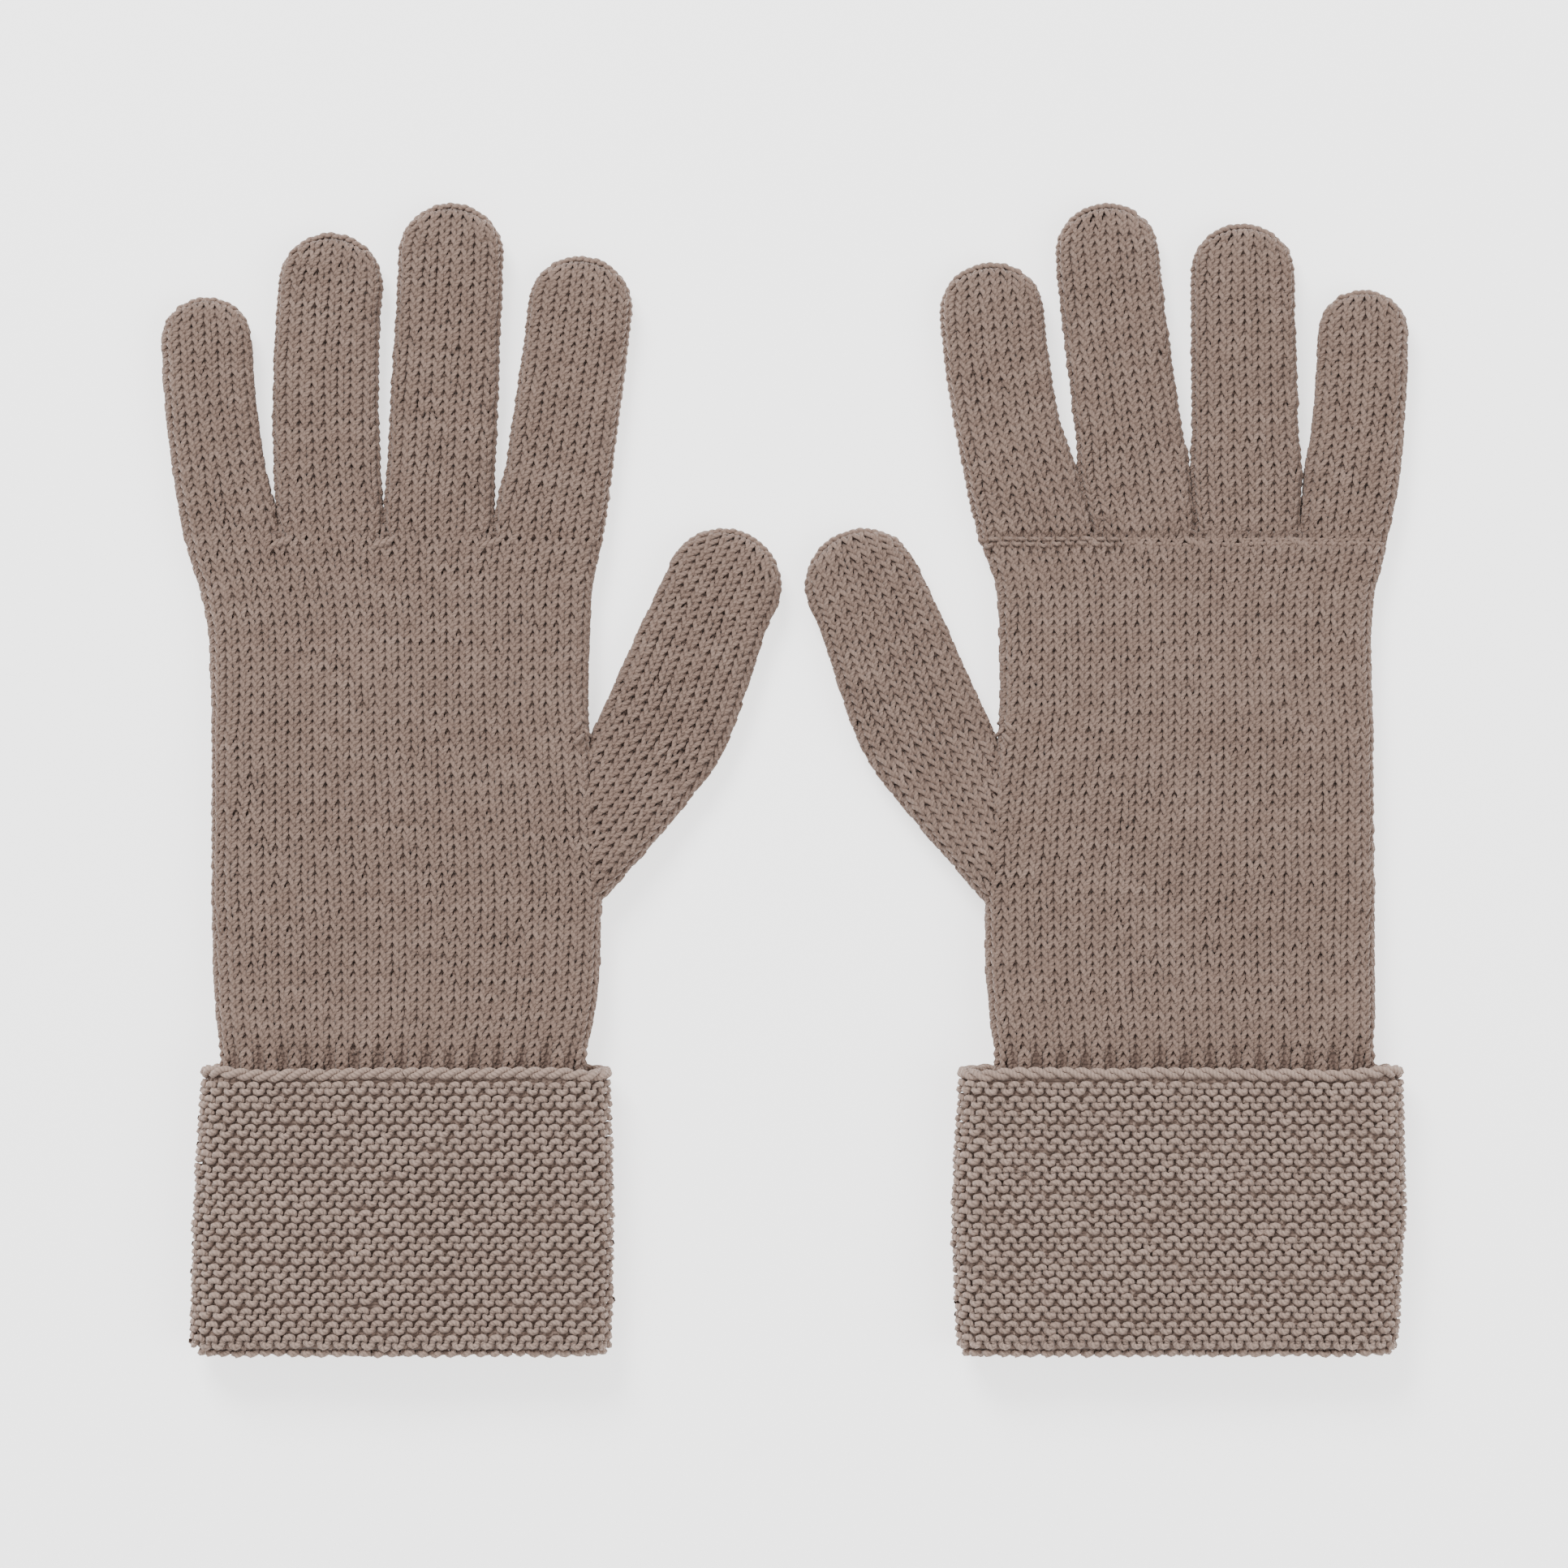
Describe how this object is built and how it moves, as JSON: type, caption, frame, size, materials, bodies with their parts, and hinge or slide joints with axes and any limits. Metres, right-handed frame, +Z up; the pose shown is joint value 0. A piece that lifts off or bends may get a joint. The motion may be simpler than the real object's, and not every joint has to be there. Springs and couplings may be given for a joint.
{
  "type": "knitted glove pair",
  "caption": "Pair of plain-knit wool gloves with separate fingers, thumbs set into the side edges and deep turned-back garter-stitch cuffs, lying flat side by side",
  "frame": {"origin": "bottom centre of the box round the pair, on the surface that the gloves lie on", "axes": "+X across the pair towards the second glove, +Y from the cuffs towards the fingertips, +Z up from the surface, towards the palms"},
  "size_m": [0.3086, 0.2842, 0.0188],
  "materials": {
    "plain_knit": "matte taupe wool, plain knit",
    "garter_knit": "matte taupe wool, ridged garter knit",
    "joining_yarn": "matte taupe wool yarn"
  },
  "bodies": {
    "left_glove": {"left_hand": "plain_knit", "left_finger_join": "joining_yarn", "left_thumb_join": "joining_yarn", "left_wrist_row": "joining_yarn", "left_cuff_inner": "garter_knit", "left_little_base": "plain_knit", "left_ring_base": "plain_knit", "left_middle_base": "plain_knit", "left_index_base": "plain_knit"},
    "left_cuff_turnback": {"left_cuff_outer": "garter_knit", "left_cuff_edge": "joining_yarn"},
    "left_little_lower": {"left_little_middle": "plain_knit"},
    "left_little_upper": {"left_little_tip": "plain_knit", "left_little_closure": "joining_yarn"},
    "left_ring_lower": {"left_ring_middle": "plain_knit"},
    "left_ring_upper": {"left_ring_tip": "plain_knit", "left_ring_closure": "joining_yarn"},
    "left_middle_lower": {"left_middle_middle": "plain_knit"},
    "left_middle_upper": {"left_middle_tip": "plain_knit", "left_middle_closure": "joining_yarn"},
    "left_index_lower": {"left_index_middle": "plain_knit"},
    "left_index_upper": {"left_index_tip": "plain_knit", "left_index_closure": "joining_yarn"},
    "left_thumb_root": {"left_thumb_base": "plain_knit"},
    "left_thumb_lower": {"left_thumb_middle": "plain_knit"},
    "left_thumb_upper": {"left_thumb_tip": "plain_knit", "left_thumb_closure": "joining_yarn"},
    "right_glove": {"right_hand": "plain_knit", "right_finger_join": "joining_yarn", "right_thumb_join": "joining_yarn", "right_wrist_row": "joining_yarn", "right_cuff_inner": "garter_knit", "right_little_base": "plain_knit", "right_ring_base": "plain_knit", "right_middle_base": "plain_knit", "right_index_base": "plain_knit"},
    "right_cuff_turnback": {"right_cuff_outer": "garter_knit", "right_cuff_edge": "joining_yarn"},
    "right_little_lower": {"right_little_middle": "plain_knit"},
    "right_little_upper": {"right_little_tip": "plain_knit", "right_little_closure": "joining_yarn"},
    "right_ring_lower": {"right_ring_middle": "plain_knit"},
    "right_ring_upper": {"right_ring_tip": "plain_knit", "right_ring_closure": "joining_yarn"},
    "right_middle_lower": {"right_middle_middle": "plain_knit"},
    "right_middle_upper": {"right_middle_tip": "plain_knit", "right_middle_closure": "joining_yarn"},
    "right_index_lower": {"right_index_middle": "plain_knit"},
    "right_index_upper": {"right_index_tip": "plain_knit", "right_index_closure": "joining_yarn"},
    "right_thumb_root": {"right_thumb_base": "plain_knit"},
    "right_thumb_lower": {"right_thumb_middle": "plain_knit"},
    "right_thumb_upper": {"right_thumb_tip": "plain_knit", "right_thumb_closure": "joining_yarn"}
  },
  "joints": [
    {"name": "left_cuff_turn_down", "type": "slide", "parent": "left_glove", "child": "left_cuff_turnback", "axis": [0, -1, 0], "range_m": [0, 0.06]},
    {"name": "left_little_knuckle", "type": "hinge", "parent": "left_glove", "child": "left_little_lower", "pos_m": [-0.13831, 0.06785, 0.0099], "axis": [1, 0, 0], "range_deg": [0, 90]},
    {"name": "left_little_bend", "type": "hinge", "parent": "left_little_lower", "child": "left_little_upper", "pos_m": [-0.14131, 0.08755, 0.0099], "axis": [1, 0, 0], "range_deg": [0, 90]},
    {"name": "left_ring_knuckle", "type": "hinge", "parent": "left_glove", "child": "left_ring_lower", "pos_m": [-0.11249, 0.06785, 0.0099], "axis": [1, 0, 0], "range_deg": [0, 90]},
    {"name": "left_ring_bend", "type": "hinge", "parent": "left_ring_lower", "child": "left_ring_upper", "pos_m": [-0.11342, 0.09514, 0.0099], "axis": [1, 0, 0], "range_deg": [0, 90]},
    {"name": "left_middle_knuckle", "type": "hinge", "parent": "left_glove", "child": "left_middle_lower", "pos_m": [-0.0853, 0.06785, 0.0099], "axis": [1, 0, 0], "range_deg": [0, 90]},
    {"name": "left_middle_bend", "type": "hinge", "parent": "left_middle_lower", "child": "left_middle_upper", "pos_m": [-0.08378, 0.09869, 0.0099], "axis": [1, 0, 0], "range_deg": [0, 90]},
    {"name": "left_index_knuckle", "type": "hinge", "parent": "left_glove", "child": "left_index_lower", "pos_m": [-0.05707, 0.06785, 0.0099], "axis": [1, 0, 0], "range_deg": [0, 90]},
    {"name": "left_index_bend", "type": "hinge", "parent": "left_index_lower", "child": "left_index_upper", "pos_m": [-0.05351, 0.09245, 0.0099], "axis": [1, 0, 0], "range_deg": [0, 90]},
    {"name": "left_thumb_fold_in", "type": "hinge", "parent": "left_glove", "child": "left_thumb_root", "pos_m": [-0.04893, -0.008, 0.0133], "axis": [0.0847, -0.9964, 0], "range_deg": [0, 85]},
    {"name": "left_thumb_knuckle", "type": "hinge", "parent": "left_thumb_root", "child": "left_thumb_lower", "pos_m": [-0.02907, 0.01584, 0.0099], "axis": [0.9063, -0.4226, 0], "range_deg": [0, 65]},
    {"name": "left_thumb_bend", "type": "hinge", "parent": "left_thumb_lower", "child": "left_thumb_upper", "pos_m": [-0.02181, 0.03303, 0.0099], "axis": [0.9063, -0.4226, 0], "range_deg": [0, 85]},
    {"name": "right_cuff_turn_down", "type": "slide", "parent": "right_glove", "child": "right_cuff_turnback", "axis": [0, -1, 0], "range_m": [0, 0.06]},
    {"name": "right_little_knuckle", "type": "hinge", "parent": "right_glove", "child": "right_little_lower", "pos_m": [0.13947, 0.06785, 0.0099], "axis": [1, 0, 0], "range_deg": [0, 90]},
    {"name": "right_little_bend", "type": "hinge", "parent": "right_little_lower", "child": "right_little_upper", "pos_m": [0.14171, 0.08842, 0.0099], "axis": [1, 0, 0], "range_deg": [0, 90]},
    {"name": "right_ring_knuckle", "type": "hinge", "parent": "right_glove", "child": "right_ring_lower", "pos_m": [0.11399, 0.06785, 0.0099], "axis": [1, 0, 0], "range_deg": [0, 90]},
    {"name": "right_ring_bend", "type": "hinge", "parent": "right_ring_lower", "child": "right_ring_upper", "pos_m": [0.1135, 0.09629, 0.0099], "axis": [1, 0, 0], "range_deg": [0, 90]},
    {"name": "right_middle_knuckle", "type": "hinge", "parent": "right_glove", "child": "right_middle_lower", "pos_m": [0.08768, 0.06785, 0.0099], "axis": [1, 0, 0], "range_deg": [0, 90]},
    {"name": "right_middle_bend", "type": "hinge", "parent": "right_middle_lower", "child": "right_middle_upper", "pos_m": [0.08316, 0.09869, 0.0099], "axis": [1, 0, 0], "range_deg": [0, 90]},
    {"name": "right_index_knuckle", "type": "hinge", "parent": "right_glove", "child": "right_index_lower", "pos_m": [0.05958, 0.06785, 0.0099], "axis": [1, 0, 0], "range_deg": [0, 90]},
    {"name": "right_index_bend", "type": "hinge", "parent": "right_index_lower", "child": "right_index_upper", "pos_m": [0.05411, 0.09168, 0.0099], "axis": [1, 0, 0], "range_deg": [0, 90]},
    {"name": "right_thumb_fold_in", "type": "hinge", "parent": "right_glove", "child": "right_thumb_root", "pos_m": [0.05311, -0.008, 0.0133], "axis": [0.0847, 0.9964, 0], "range_deg": [0, 85]},
    {"name": "right_thumb_knuckle", "type": "hinge", "parent": "right_thumb_root", "child": "right_thumb_lower", "pos_m": [0.03325, 0.01584, 0.0099], "axis": [0.9063, 0.4226, 0], "range_deg": [0, 65]},
    {"name": "right_thumb_bend", "type": "hinge", "parent": "right_thumb_lower", "child": "right_thumb_upper", "pos_m": [0.02599, 0.03303, 0.0099], "axis": [0.9063, 0.4226, 0], "range_deg": [0, 85]},
    {"name": "gloves_apart", "type": "slide", "parent": "left_glove", "child": "right_glove", "axis": [1, 0, 0], "range_m": [0, 0.06]}
  ]
}
